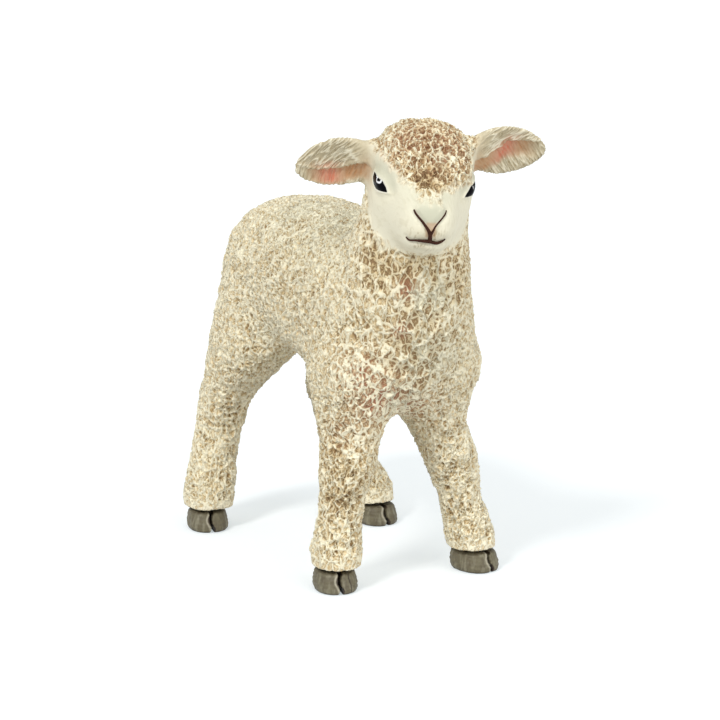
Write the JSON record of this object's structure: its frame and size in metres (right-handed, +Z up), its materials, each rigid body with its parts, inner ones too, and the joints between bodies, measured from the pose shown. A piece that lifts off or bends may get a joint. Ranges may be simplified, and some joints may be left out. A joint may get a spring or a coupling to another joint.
{
  "type": "toy lamb figure",
  "caption": "Standing toy lamb with its head turned to one side, spread ears, a short hanging tail and cloven hooves, moulded in pieces that plug together.",
  "frame": {"origin": "on the ground, under the middle of the figure's box", "axes": "+Z up, -Y the way the lamb's body faces, +X the lamb's left"},
  "size_m": [0.0234, 0.0482, 0.0476],
  "materials": {
    "fleece": "cream paint over sculpted curls, with tan in the hollows",
    "face": "pale cream paint, smooth with fine short hair",
    "ear": "cream paint with a pink wash inside the cup",
    "hoof": "warm grey paint with a dark cleft",
    "eye": "gloss black with a white glint"
  },
  "bodies": {
    "root": {"torso": "fleece", "tail": "fleece", "front_left_leg": "fleece", "front_right_leg": "fleece", "rear_left_leg": "fleece", "rear_right_leg": "fleece", "head": "face", "left_ear": "ear", "right_ear": "ear", "left_eye": "eye", "right_eye": "eye", "front_left_hoof": "hoof", "front_right_hoof": "hoof", "rear_left_hoof": "hoof", "rear_right_hoof": "hoof"}
  },
  "joints": []
}
